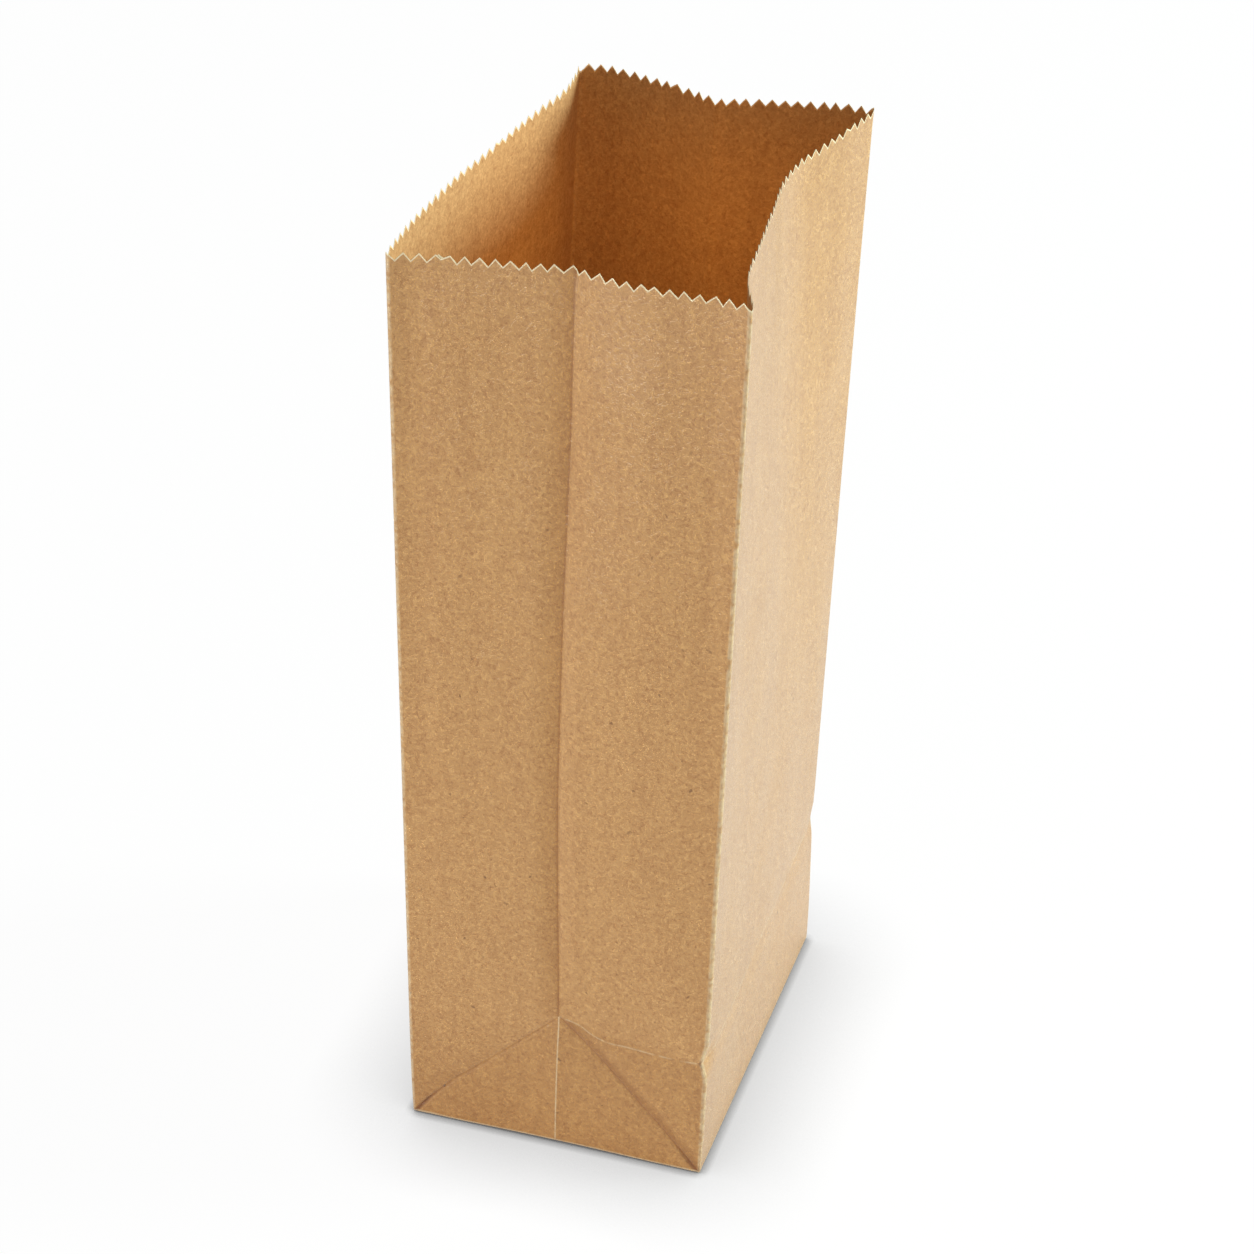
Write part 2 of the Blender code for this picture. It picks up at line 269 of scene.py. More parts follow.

# Looks of the two faces of the paper: strength of the fibres, contrast of the pulp, strength of
# the bumps, roughness, sheen, strength of the painted shade in the folds, and strength of the
# light fold lines, partly rubbed fibres and partly painted highlight
Look = namedtuple("Look", "fibre contrast bump roughness sheen fold wear")
OUTSIDE_LOOK = Look(1.0, 0.31, 0.23, 0.29, 0.40, 0.50, 0.55)
INSIDE_LOOK = Look(0.7, 0.36, 0.25, 0.70, 0.0, 0.08, 0.12)

# Lamps: the point they face, their places, and the sides or radius of each
LAMP_TARGET = (0.0, 0.0, 0.16)
KEY_PLACE = (0.75, -1.84, 0.72)
KEY_SIDES = (0.5, 0.6)
FILL_PLACE = (-1.95, 0.95, 0.18)
FILL_SIDES = (1.4, 0.3)
GLOW_PLACE = (0.0, -0.018, 0.30)
GLOW_RADIUS = 0.05
WHITE = (1.0, 1.0, 1.0)

# Camera: degrees round, up and rolled, the point that it faces, and its distance from it
CAMERA_ANGLES = (-73.458, 32.553, 1.393)
CAMERA_TARGET = (0.0013, -0.00005, 0.17153)
CAMERA_DISTANCE = 1.3432


def metres(name, description, default, least, digits=5, **limits):
    """Setting that is a length in metres."""
    return FloatProperty(
        name=name, description=description, default=default, min=least, unit="LENGTH",
        precision=digits, **limits,
    )


def quantity(name, description, default, least=0.0, **kind):
    """Setting that is a plain number or a power."""
    return FloatProperty(name=name, description=description, default=default, min=least, **kind)


def tint(name, description, default):
    """Setting that is a colour."""
    return FloatVectorProperty(
        name=name, description=description, default=default, size=3, min=0.0, max=1.0,
        subtype="COLOR",
    )


class BagSizes(bpy.types.PropertyGroup):
    """Sizes of the bag."""

    width: metres("Width", "Width of the two wide panels at the base", 0.144, 0.05, 4)
    depth: metres("Depth", "Width of the two gusseted sides at the base", 0.106, 0.04, 4)
    height: metres(
        "Height", "Height of the tips of the cut edge above the floor", round(CAD_HIGH.z, 4), 0.1, 4
    )
    sheet: metres("Sheet", "Thickness of one layer of the paper", 0.00015, 0.00005, max=0.0005)
    corner_radius: metres("Fold radius", "Inside radius of the vertical folds", 0.0006, 0.0002)
    bottom_radius: metres(
        "Bottom radius", "Inside radius of the fold round the base", 0.0005, 0.0001
    )
    tooth_depth: metres("Tooth depth", "Height of the teeth of the cut edge", 0.0027, 0.0005)
    waviness: metres(
        "Waviness", "How far the flat parts of the paper swell and dip", 0.00022, 0.0
    )
    seed: IntProperty(
        name="Seed", description="Picks the small irregularities of the cut and the paper",
        default=7, min=0,
    )


class PaperFinish(bpy.types.PropertyGroup):
    """Colours and surface of the paper."""

    outside: tint("Outside", "Colour of the outside of the paper", (0.578, 0.299, 0.094))
    inside: tint("Inside", "Colour of the inside of the paper", (0.530, 0.318, 0.127))
    # Colour of the cut edge, also used for the painted highlight along the light fold lines and
    # beside the rim
    raw_edge_and_highlight: tint(
        "Cut edge", "Colour of the torn fibres along a cut or a worn fold", (1.0, 0.85, 0.55)
    )
    fleck: tint("Flecks", "Colour of the bark flecks in the pulp", (0.26, 0.11, 0.02))
    mottle: quantity(
        "Mottle", "Strength of the cloudy colour variation", 1.0, max=3.0, subtype="FACTOR"
    )


class StudioSettings(bpy.types.PropertyGroup):
    """Floor, lamps and camera."""

    floor_size: quantity("Floor", "Side of the square floor", 9.0, 1.0, unit="LENGTH")
    key_power: quantity(
        "Key lamp", "Power of the soft lamp on the front panel", 46.5, unit="POWER"
    )
    key_colour: tint("Key colour", "Colour of the soft lamp on the front panel", (0.87, 1.0, 0.93))
    fill_power: quantity(
        "Fill lamp", "Power of the soft lamp on the left gusset", 26.8, unit="POWER"
    )
    glow_power: quantity(
        "Glow", "Power of the lamp for light that comes through the paper", 0.115, unit="POWER"
    )
    glow_colour: tint(
        "Glow colour", "Colour of the light that comes through the paper", (1.0, 0.52, 0.15)
    )
    sky: quantity("Sky", "Strength of the even light from all round", 0.15)
    lens: quantity("Lens", "Focal length for a 36 mm wide image", 111.967, 10.0, unit="CAMERA")


# Curves and noise


def near(value, centre, reach):
    """Bump that is one at the centre and fades to nothing at the reach: (1-g)^2 (1+2g)."""
    gap = np.minimum(np.abs(value - centre) / reach, 1.0)
    return (1 - gap) ** 2 * (1 + 2 * gap)


def tent(value, reach):
    """Straight-sided peak that is one at nothing and zero beyond the reach."""
    return np.maximum(0.0, 1 - np.abs(value) / reach)


def ramp(value, length, start=0.0):
    """Straight rise from nothing at the start to one a length further on."""
    return np.clip((value - start) / length, 0.0, 1.0)


def unit(vectors):
    """Vectors of a grid made one long."""
    return vectors / np.linalg.norm(vectors, axis=2, keepdims=True)


def table_curve(points, share):
    """Smooth curve through a table: a cubic between neighbours, whose slope at each point is
    that of the chord between the points on either side."""
    x, y = np.array(points, float).T
    count = len(x)
    high = np.minimum(np.arange(count) + 1, count - 1)
    low = np.maximum(np.arange(count) - 1, 0)
    slope = (y[high] - y[low]) / (x[high] - x[low])
    share = np.clip(share, x[0], x[-1])
    left = np.clip(np.searchsorted(x, share, side="left") - 1, 0, count - 2)
    width = x[left + 1] - x[left]
    step = (share - x[left]) / width
    square, cube = step**2, step**3
    return (
        y[left] * (2 * cube - 3 * square + 1)
        + slope[left] * width * (cube - 2 * square + step)
        + y[left + 1] * (3 * square - 2 * cube)
        + slope[left + 1] * width * (cube - square)
    )


def soft_noise(first, second, seed, waves=9):
    """Sum of sine waves of two parameters, with directions and phases drawn from the seed."""
    draw = np.random.default_rng(seed)
    total = np.zeros(np.broadcast(first, second).shape)
    for _ in range(waves):
        angle = draw.uniform(0, 2 * math.pi)
        pitch = draw.uniform(0.6, 1.5)
        phase = draw.uniform(0, 2 * math.pi)
        total += np.sin(pitch * (first * math.cos(angle) + second * math.sin(angle)) + phase)
    return total / math.sqrt(waves)


# Shape of the folded sheet


class Sheet:
    """Columns and rows of the unfolded sheet, with what each column stands for."""

    def __init__(self, size):
        self.size = size
        self.lengths = (size.depth, size.width, size.depth, size.width)
        self.perimeter = 2 * (size.width + size.depth)
        self.fold = size.depth / 2
        self.floor_top = 3 * size.sheet
        side, along, tooth = [], [], []
        for number, (length, steps) in enumerate(zip(self.lengths, SIDE_COLUMNS)):
            places = [np.arange(steps) * length / steps]
            places.append(np.array(CORNER_OFFSETS))
            places.append(length - np.array(CORNER_OFFSETS))
            if number == 0:
                places.append(np.array((LAP_START, LAP_START + LAP_RAMP)))
            places = np.unique(np.round(np.concatenate(places), 7))
            side.append(np.full(len(places), number))
            along.append(places)
            tooth.append(sum(SIDE_COLUMNS[:number]) + places / length * steps)
        self.side = np.concatenate(side)
        self.along = np.concatenate(along)
        self.tooth = np.concatenate(tooth) / COLUMNS_PER_TOOTH
        starts = np.concatenate(([0.0], np.cumsum(self.lengths)))[:4]
        self.length = np.array(self.lengths)[self.side]
        self.share = self.along / self.length
        self.path = starts[self.side] + self.along
        self.gusset = self.side % 2 == 0
        self.across = np.where(self.gusset, 1 - np.abs(2 * self.share - 1), 0.0)
        self.middle = (2 * self.share - 1) * self.fold
        self.fold_gap = np.minimum(self.along, self.length - self.along)
        self.line = size.depth / SIDE_COLUMNS[0] * LINE_WIDTH

    def cut_edge(self):
        """Height of the cut edge at each column, and how far the column is moved along the
        edge: a zigzag whose tips and notches are columns, each with its own small draw."""
        draw = np.random.default_rng(self.size.seed)
        count = sum(SIDE_COLUMNS) * 2 // COLUMNS_PER_TOOTH
        level = np.where(np.arange(count) % 2 == 0, 0.0, -self.size.tooth_depth)
        level = level + draw.normal(0.0, TOOTH_UNEVEN, count)
        for number, change in UNEVEN_NOTCHES:
            level[number] += change
        shift = draw.normal(0.0, TOOTH_WANDER, count)
        half = self.tooth * 2
        left = np.floor(half + 1e-6).astype(int)
        mix = half - left
        after = (left + 1) % count
        left = left % count
        top = np.minimum(level[left] * (1 - mix) + level[after] * mix, 0.0)
        moved = (shift[left] * (1 - mix) + shift[after] * mix) * ramp(self.fold_gap, EDGE_CALM)
        return self.size.height + top, moved

    def rows(self):
        """Heights of the rows before any warp, from the floor of the bag to the cut edge."""
        size = self.size
        angles = np.radians(FOLD_ANGLES)
        bottom = self.floor_top + size.bottom_radius * (1 - np.sin(angles))
        foot = np.arange(1, SIDE_COLUMNS[0] // 2 + 1) * size.depth / SIDE_COLUMNS[0]
        top = size.height - np.array(ROWS_BELOW_EDGE)
        wall = np.linspace(self.fold, top[0], WALL_ROWS + 1)[1:-1]
        return np.concatenate((bottom, foot, wall, top))

    def crease_height(self):
        """Height of the fold row at each column: level, then sloping over the front panel."""
        height = np.full(len(self.path), self.fold)
        side, share = self.side, self.share
        rise = FRONT_CREASE_RIGHT - FRONT_CREASE_LEFT
        left = (side == 0) & (share > 0.5)
        height[left] += (FRONT_CREASE_LEFT - self.fold) * (share[left] - 0.5) * 2
        front = side == 1
        height[front] = FRONT_CREASE_LEFT + rise * share[front]
        right = (side == 2) & (share < 0.5)
        height[right] += (FRONT_CREASE_RIGHT - self.fold) * (1 - share[right] * 2)
        return height

    def warped_heights(self, rows):
        """Real height of every row at every column: the fold row is bent to the crease's
        height, and rows next to a diagonal fold are lifted by its bow."""
        level = rows[:, None]
        height = level + (self.crease_height() - self.fold) * near(level, self.fold, CREASE_FADE)
        diagonal = self.across * self.fold
        left = (self.side == 0) & (self.share <= 0.5)
        bow = np.where(
            left, table_curve(LEFT_BOW, self.across), table_curve(RIGHT_BOW, self.across)
        ) * self.gusset
        height = height + bow * near(level, diagonal, BOW_REACH) * ramp(level, BOW_START)
        below = np.minimum(level / self.fold, self.across)
        above = self.across * near(level, self.fold, POINT_FADE)
        return height + POINT_RISE * np.where(level < self.fold, below, above)


def plan_outline(sheet, inset):
    """Rounded outline of the base moved inwards: straight sides, and at each corner an arc
    of the fold radius about a centre that lies that far inside both sides."""
    size = sheet.size
    half = np.array((size.width, size.depth)) / 2
    corners = np.array(((-1, 1), (-1, -1), (1, -1), (1, 1)), float) * half
    side, along, length = sheet.side, sheet.along, sheet.length
    radius = size.corner_radius
    before, after = (side - 1) % 4, (side + 1) % 4
    inset = np.asarray(inset)[..., None]

    straight = corners[side] + ALONG[side] * along[:, None] - OUTWARD[side] * inset

    def arc(corner, first, second, angle):
        centre = corner - (OUTWARD[first] + OUTWARD[second]) * radius
        spoke = OUTWARD[first] * np.cos(angle)[:, None] + OUTWARD[second] * np.sin(angle)[:, None]
        return centre + spoke * (radius - inset)

    start_angle = math.pi / 4 * (1 + np.minimum(along / radius, 1.0))
    end_angle = math.pi / 4 * (1 - np.minimum((length - along) / radius, 1.0))
    starting = arc(corners[side], before, side, start_angle)
    ending = arc(corners[after], side, after, end_angle)
    near_start = (along < radius)[:, None]
    near_end = (along > length - radius)[:, None]
    return np.where(near_start, starting, np.where(near_end, ending, straight))


def corner_kink(sheet, height):
    """Inward push of the sheet where the front crease meets the two folds beside it: widest at
    the fold, fading evenly to a gusset's middle and quickly over the front panel."""
    left = KINK_DEPTH * near(height, FRONT_CREASE_LEFT, KINK_REACH)
    left = left + KINK_NICK * near(height, FRONT_CREASE_LEFT + NICK_RISE, NICK_REACH)
    right = KINK_DEPTH / 2 * near(height, FRONT_CREASE_RIGHT, KINK_REACH)
    share, along = sheet.share, sheet.along
    left_part = np.where(sheet.side == 0, ramp(share, 0.5, 0.5), 0.0)
    left_part = np.where(sheet.side == 1, near(along, 0.0, KINK_FADE), left_part)
    right_part = np.where(sheet.side == 2, ramp(0.5 - share, 0.5), 0.0)
    right_fade = near(along, sheet.size.width, KINK_FADE)
    right_part = np.where(sheet.side == 1, right_fade, right_part)
    return left * left_part + right * right_part


def corner_lean(sheet, corner, height):
    """Sideways shift of one vertical fold: it leans evenly to its place at the mouth, and the
    front-right one bends where the front crease meets it."""
    size = sheet.size
    lean = np.array(MOUTH_CORNERS[corner]) * size.depth * (height / size.height)[..., None]
    if corner == 2:
        below = height / FRONT_CREASE_RIGHT
        above = (size.height - height) / (size.height - FRONT_CREASE_RIGHT)
        bend = np.minimum(below, np.maximum(above, 0.0) ** RIGHT_EDGE_POWER)
        lean[..., 1] += RIGHT_EDGE_BEND * bend
    return lean


def mouth_push(sheet):
    """Inward push at the mouth for each column, read from the table of its side."""
    push = np.zeros(len(sheet.path))
    for side, tables in enumerate(MOUTH_PUSH):
        for half, table in enumerate(tables):
            chosen = sheet.side == side
            if len(tables) == 2:
                chosen &= (sheet.share > 0.5) == bool(half)
            push[chosen] = table_curve(table, sheet.share[chosen])
    return push * sheet.size.depth


def foot_relief(sheet, rows):
    """Inward push of the folded foot of a gusset: a broad and a narrow valley along each
    diagonal, a pocket where it runs into the base, and a ridge down the middle."""
    level = rows[:, None] / sheet.fold
    below = (level < 1.0) & sheet.gusset
    swing = np.sin(math.pi * np.clip(level, 0.0, 1.0))
    gap = (level - sheet.across) * sheet.fold
    valley = DIAGONAL_DEPTH * tent(gap, DIAGONAL_REACH) * swing
    narrow = tent(gap, sheet.line)
    nick = DIAGONAL_NICK * narrow * np.minimum(level * DIAGONAL_START, 1.0)
    pocket = near(sheet.across * sheet.fold, CREVICE_PLACE, CREVICE_REACH)
    pocket = CREVICE_DEPTH * narrow * pocket * ramp(rows[:, None], *CREVICE_RAMP)
    middle = sheet.middle
    ridge = RIDGE_HEIGHT * tent(middle, RIDGE_REACH) + RIDGE_NICK * tent(middle, sheet.line)
    return np.where(below, valley + nick + pocket - ridge * swing, 0.0)


def panel_relief(sheet, height):
    """Inward push of the wide front panel near its crease: a soft valley with a sharper line
    in it, and two soft wrinkles that fan out from the right-hand end."""
    share, crease = sheet.share, sheet.crease_height()
    push = FRONT_CREASE_DEPTH * near(height, crease, FRONT_CREASE_REACH)
    line = FRONT_LINE_DEPTH * near(height, crease, FRONT_LINE_REACH)
    push = push + line * near(share, *FRONT_LINE_SPREAD)
    for depth, slope, start, reach, centre, spread in WRINKLES:
        line = FRONT_CREASE_RIGHT + (1 - share) * slope + start
        push = push + depth * near(height, line, reach) * near(share, centre, spread)
    return np.where(sheet.side == 1, push, 0.0)


def inside_surface(sheet):
    """Inside face of the sheet as a grid of points, rows by columns. A point is the rounded
    base outline, plus the lean of the two folds on either side mixed by its share of the way
    between them, less the outward direction times the push of the mouth, relief and waves."""
    size = sheet.size
    rows = sheet.rows()
    edge, moved = sheet.cut_edge()
    level = np.vstack((np.repeat(rows[:, None], len(edge), axis=1), edge[None, :]))
    height = np.vstack((sheet.warped_heights(rows), edge[None, :]))
    lift = np.sin(math.pi * sheet.share) ** 2 * sheet.gusset
    height = height + EDGE_LIFT * lift * near(level, 0.0, EDGE_LIFT_HEIGHT)
    all_rows = np.append(rows, size.height)

    inset = np.zeros(len(all_rows))
    inset[: len(FOLD_ANGLES)] = size.bottom_radius * (1 - np.cos(np.radians(FOLD_ANGLES)))
    swell = SWELL * (1 - np.exp(-np.maximum(0.0, height - sheet.floor_top) / SWELL_HEIGHT))
    point = plan_outline(sheet, inset[:, None] - swell)

    leans = [corner_lean(sheet, corner, height) for corner in range(4)]
    share = sheet.share[:, None]
    side = sheet.side
    for number in range(4):
        mixed = leans[number] * (1 - share) + leans[(number + 1) % 4] * share
        point = point + np.where((side == number)[:, None], mixed, 0.0)
    point[..., 1] += corner_kink(sheet, height)

    span = size.height - sheet.fold
    rise = np.maximum(0.0, (height - sheet.fold) / span) ** PUSH_POWER
    push = mouth_push(sheet) * rise
    push = push + foot_relief(sheet, all_rows)
    push = push + panel_relief(sheet, height)
    middle = sheet.middle
    over_foot, under_edge = level - sheet.fold, size.height - level
    crease = CREASE_NICK * tent(middle, sheet.line) * ramp(over_foot, CREASE_START)
    strip = np.where(middle < 0, middle / CREASE_STRIP_BEFORE, middle / CREASE_STRIP_AFTER)
    strip = tent(strip, 1.0) ** CREASE_STRIP_POWER * ramp(over_foot, CREASE_STRIP_START)
    strip = strip * np.maximum(ramp(under_edge, CREASE_STRIP_END), CREASE_STRIP_LEAST)
    strip = CREASE_STRIP_DEPTH * strip
    bulge = GUSSET_BULGE * np.sin(math.pi * ramp(middle, sheet.fold))
    bulge = bulge * ramp(over_foot, BULGE_FADE_LOW) * ramp(under_edge, BULGE_FADE_HIGH)
    push = push + np.where(side == 0, crease + strip - bulge, 0.0)
    push = push + np.where(side == 2, FAR_CREASE * crease, 0.0)

    wave = sum(
        weight * soft_noise(sheet.path * along, height * up, size.seed + shift)
        for along, up, weight, shift in WAVES
    )
    wave = wave * ramp(sheet.fold_gap, WAVE_CALM) * ramp(height, *WAVE_RAMP)
    push = push + size.waviness * wave

    point = point - OUTWARD[side] * push[..., None]
    point[-1] += ALONG[side] * moved[:, None]
    wander = np.sin(math.pi * ramp(size.height - height, span) ** CREASE_WANDER_POWER)
    wander = CREASE_WANDER * wander * near(sheet.share, 0.5, 0.45)
    point[..., 1] += np.where(side == 0, wander, 0.0)
    shift = np.where(level < sheet.fold, level / sheet.fold, near(level, sheet.fold, SHIFT_FADE))
    shift = shift * near(sheet.share, 0.5, 0.5)
    point[..., 1] -= np.where(side == 0, POINT_SHIFT * shift, 0.0)
    return np.dstack((point, height)), level


def surface_normals(points):
    """Outward unit normals of a grid that closes on itself along its columns: the cross
    product of the central differences along the two parameters."""
    along = np.roll(points, -1, axis=1) - np.roll(points, 1, axis=1)
    up = np.gradient(points, axis=0)
    return unit(np.cross(along, up))


def lap_rise(sheet):
    """Outward step of the sheet where it lies over its own other edge, in sheet thicknesses:
    one across the lap, reached over a short ramp, then fading out smoothly."""
    path = sheet.path
    fade = ramp(path, LAP_FADE, LAP_END)
    return ramp(path, LAP_RAMP, LAP_START) * (1 - fade**2 * (3 - 2 * fade))


def grid_triangles(rows, columns, rising, closed=True):
    """Two triangles for each cell of a grid. A cell is cut along its rising diagonal where
    the mask says so, else along the falling one. Returns vertex numbers and the matching
    numbers on a grid with one more column, for texture coordinates."""
    wide = columns + 1 if closed else columns
    corner = np.meshgrid(np.arange(rows - 1), np.arange(wide - 1), indexing="ij")
    low_left = np.stack(corner, -1)
    low_right, high_left, high_right = (low_left + step for step in ((0, 1), (1, 0), (1, 1)))
    up = (low_left, low_right, high_right, low_left, high_right, high_left)
    down = (low_left, low_right, high_left, low_right, high_right, high_left)
    cells = np.where(rising[..., None, None], np.stack(up, 2), np.stack(down, 2))
    cells = cells.reshape(-1, 3, 2)
    return cells[..., 0] * columns + cells[..., 1] % columns, cells


def strip_triangles(first, second, third, fourth):
    """Two triangles for each four-sided cell of a strip, from its corners taken in turn."""
    halves = (first, second, third), (first, third, fourth)
    return np.concatenate([np.stack(half, 1) for half in halves])


def add_object(name, data):
    """Object of some data, in the scene."""
    thing = bpy.data.objects.new(name, data)
    bpy.context.scene.collection.objects.link(thing)
    return thing


def make_mesh(name, vertices, triangles, materials, texture, below_edge, slots, sharp):
    """Mesh object from arrays: vertices, triangles, a texture coordinate for each corner of
    each triangle, the distance of each vertex below the cut edge, material numbers, and the
    vertices that lie on a sharp rim."""
    mesh = bpy.data.meshes.new(name)
    mesh.vertices.add(len(vertices))
    mesh.vertices.foreach_set("co", np.asarray(vertices, np.float32).ravel())
    mesh.loops.add(triangles.size)
    mesh.loops.foreach_set("vertex_index", triangles.ravel().astype(np.int32))
    mesh.polygons.add(len(triangles))
    mesh.polygons.foreach_set("loop_start", np.arange(0, triangles.size, 3, dtype=np.int32))
    mesh.polygons.foreach_set("loop_total", np.full(len(triangles), 3, np.int32))
    mesh.polygons.foreach_set("use_smooth", np.ones(len(triangles), bool))
    mesh.polygons.foreach_set("material_index", slots.astype(np.int32))
    layer = mesh.uv_layers.new(name="sheet")
    layer.data.foreach_set("uv", np.asarray(texture, np.float32).ravel())
    attribute = mesh.attributes.new("below_edge", "FLOAT", "POINT")
    attribute.data.foreach_set("value", np.asarray(below_edge, np.float32))
    for material in materials:
        mesh.materials.append(material)
    mesh.update(calc_edges=True)
    ends = np.empty(2 * len(mesh.edges), np.int32)
    mesh.edges.foreach_get("vertices", ends)
    mesh.edges.foreach_set("use_edge_sharp", sharp[ends.reshape(-1, 2)].all(axis=1))
    mesh.validate()
    return add_object(name, mesh)


def fold_bag(size, materials):
    """The whole sheet: its inside face from the formula, its outside face one thickness out
    along the normals, or two over the lap, the two joined by the cut edge, and each closed by
    a flat base."""
    sheet = Sheet(size)
    inner, level = inside_surface(sheet)
    rows, columns = level.shape
    normal = surface_normals(inner)
    angles = np.radians(FOLD_ANGLES)[:, None, None]
    flat = normal[len(FOLD_ANGLES)][None]
    bottom = flat * np.cos(angles) - np.array((0, 0, 1.0)) * np.sin(angles)
    normal[: len(FOLD_ANGLES)] = unit(bottom)
    lift = lap_rise(sheet) * ramp(level, *LAP_FOOT)
    shifted = inner + normal * (size.sheet * lift * (sheet.path < LAP_END)[None, :])[..., None]
    outer = inner + normal * (size.sheet * (1 + lift))[..., None]

    centre_share = (sheet.share + np.roll(sheet.share, -1)) / 2
    centre_share[np.roll(sheet.side, -1) != sheet.side] = 1.0
    foot = (level[1:] <= sheet.fold + 1e-6) & sheet.gusset
    rising = foot & (centre_share < 0.5)
    body, cells = grid_triangles(rows, columns, rising)

    texture_grid = np.dstack(
        (
            np.repeat(np.append(sheet.path, sheet.perimeter)[None], rows, axis=0),
            np.hstack((level, level[:, :1])),
        )
    )
    texture = texture_grid[cells[..., 0], cells[..., 1]]

    count = rows * columns
    rim_low = count - columns + np.arange(columns)
    rim_next = np.roll(rim_low, -1)
    rim = strip_triangles(rim_low + count, rim_next + count, rim_next, rim_low)
    rim_texture = np.zeros((len(rim), 3, 2))
    below = np.clip(sheet.cut_edge()[0] - level, 0.0, FAR_BELOW).ravel()
    vertices = [shifted.reshape(-1, 3), outer.reshape(-1, 3)]
    triangles = [body[:, ::-1], body + count, rim[:, ::-1]]
    for start, bottom_row, turned in ((0, shifted[0], False), (count, outer[0], True)):
        points, faces = base_faces(bottom_row, start, 2 * count + turned * (columns + 1))
        vertices.append(points)
        triangles.append(faces[:, ::-1] if turned else faces)
    base_texture = np.tile(BASE_TEXTURE, (len(triangles[-1]), 3, 1))
    texture = np.concatenate(
        (texture[:, ::-1], texture, rim_texture, base_texture, base_texture)
    )
    slots = np.repeat((1, 0, 2, 1, 0), [len(part) for part in triangles])
    top = np.zeros((2, rows, columns), bool)
    top[:, -1] = True
    extra = 2 * (columns + 1)
    return make_mesh(
        "bag_sheet", np.concatenate(vertices), np.concatenate(triangles), materials, texture,
        np.concatenate((below, below, np.full(extra, FAR_BELOW))), slots,
        np.append(top.ravel(), np.zeros(extra, bool)),
    )


def base_faces(ring, start, first):
    """Points and triangles that close the base: the lowest row of the wall, a smaller copy of
    it that lies flat, and a fan of triangles from that to the middle."""
    columns = len(ring)
    points = np.vstack((ring * BASE_FLAT, np.zeros((1, 3))))
    points[:, 2] = ring[:, 2].min()
    here = np.arange(columns)
    after = np.roll(here, -1)
    band = strip_triangles(start + here, start + after, first + after, first + here)
    middle = np.full(columns, first + columns)
    fan = np.stack((first + here, first + after, middle), 1)
    return points, np.concatenate((band, fan))


def thin_plate(name, top, thickness, materials, below_edge):
    """Closed thin plate from an open grid of points: the grid, its copy one thickness lower
    along the normals, and a strip round the edge."""
    rows, columns = top.shape[:2]
    under = top - unit(np.cross(np.gradient(top, axis=1), np.gradient(top, axis=0))) * thickness
    body, _ = grid_triangles(rows, columns, np.zeros((rows - 1, columns - 1), bool), False)
    count = rows * columns
    number = np.arange(count).reshape(rows, columns)
    ring = np.concatenate((number[0, :-1], number[:-1, -1], number[-1, :0:-1], number[:0:-1, 0]))
    after = np.roll(ring, -1)
    rim = strip_triangles(ring, ring + count, after + count, after)
    triangles = np.concatenate((body, body[:, ::-1] + count, rim))
    slots = np.concatenate((np.full(2 * len(body), 0), np.full(len(rim), len(materials) - 1)))
    texture = np.full((len(triangles), 3, 2), PLATE_TEXTURE)
    vertices = np.concatenate((top.reshape(-1, 3), under.reshape(-1, 3)))
    below = np.tile(below_edge.ravel(), 2)
    sharp = np.zeros(2 * count, bool)
    sharp[ring] = sharp[ring + count] = True
    return make_mesh(name, vertices, triangles, materials, texture, below, slots, sharp)


def flap_grid(size, direction, face):
    """Grid of one glued flap under the base: rows run from its fold to its free edge, each row
    as wide as the 45 degree folds leave it, and the last row follows the cut teeth."""
    length = size.depth / 2 + FLAP_LAP
    fold = size.depth / 2 - FLAP_INSET
    end = size.width / 2 - length
    free = length - size.depth / 2
    teeth = round(2 * end / TOOTH_PITCH)
    step = np.linspace(-1.0, 1.0, 2 * teeth + 1)
    down = np.linspace(0.0, 1.0, FLAP_ROWS)[:, None]
    half = (size.width / 2 - FLAP_INSET) * (1 - down) + end * down
    notch = np.where(np.arange(2 * teeth + 1) % 2 == 1, FLAP_TOOTH, 0.0)
    reach = (fold + free) * down - notch * (down == 1.0)
    x = step * half
    grid = np.dstack((x * direction, (reach - fold) * direction, np.full(x.shape, face)))
    return grid, np.broadcast_to((1 - down) * (fold + free), x.shape)


def lap_grid(size):
    """Grid of the sheet's other edge, glued inside the lap: the wall's own formula between the
    lap's two edges, with teeth cut a quarter of a tooth to one side."""
    sheet = Sheet(size)
    inner, level = inside_surface(sheet)
    inside = (sheet.path > LAP_START + 0.9 * LAP_RAMP) & (sheet.path < LAP_END)
    columns = np.flatnonzero(inside & (sheet.side == 0))
    start = len(FOLD_ANGLES) + 2
    grid = inner[start:, columns].copy()
    edge = sheet.cut_edge()[0]
    grid[-1, :, 2] = np.roll(edge, 1)[columns]
    return grid, np.clip(edge[columns] - level[start:, columns], 0.0, FAR_BELOW)


# Shader nodes, written as short formulas


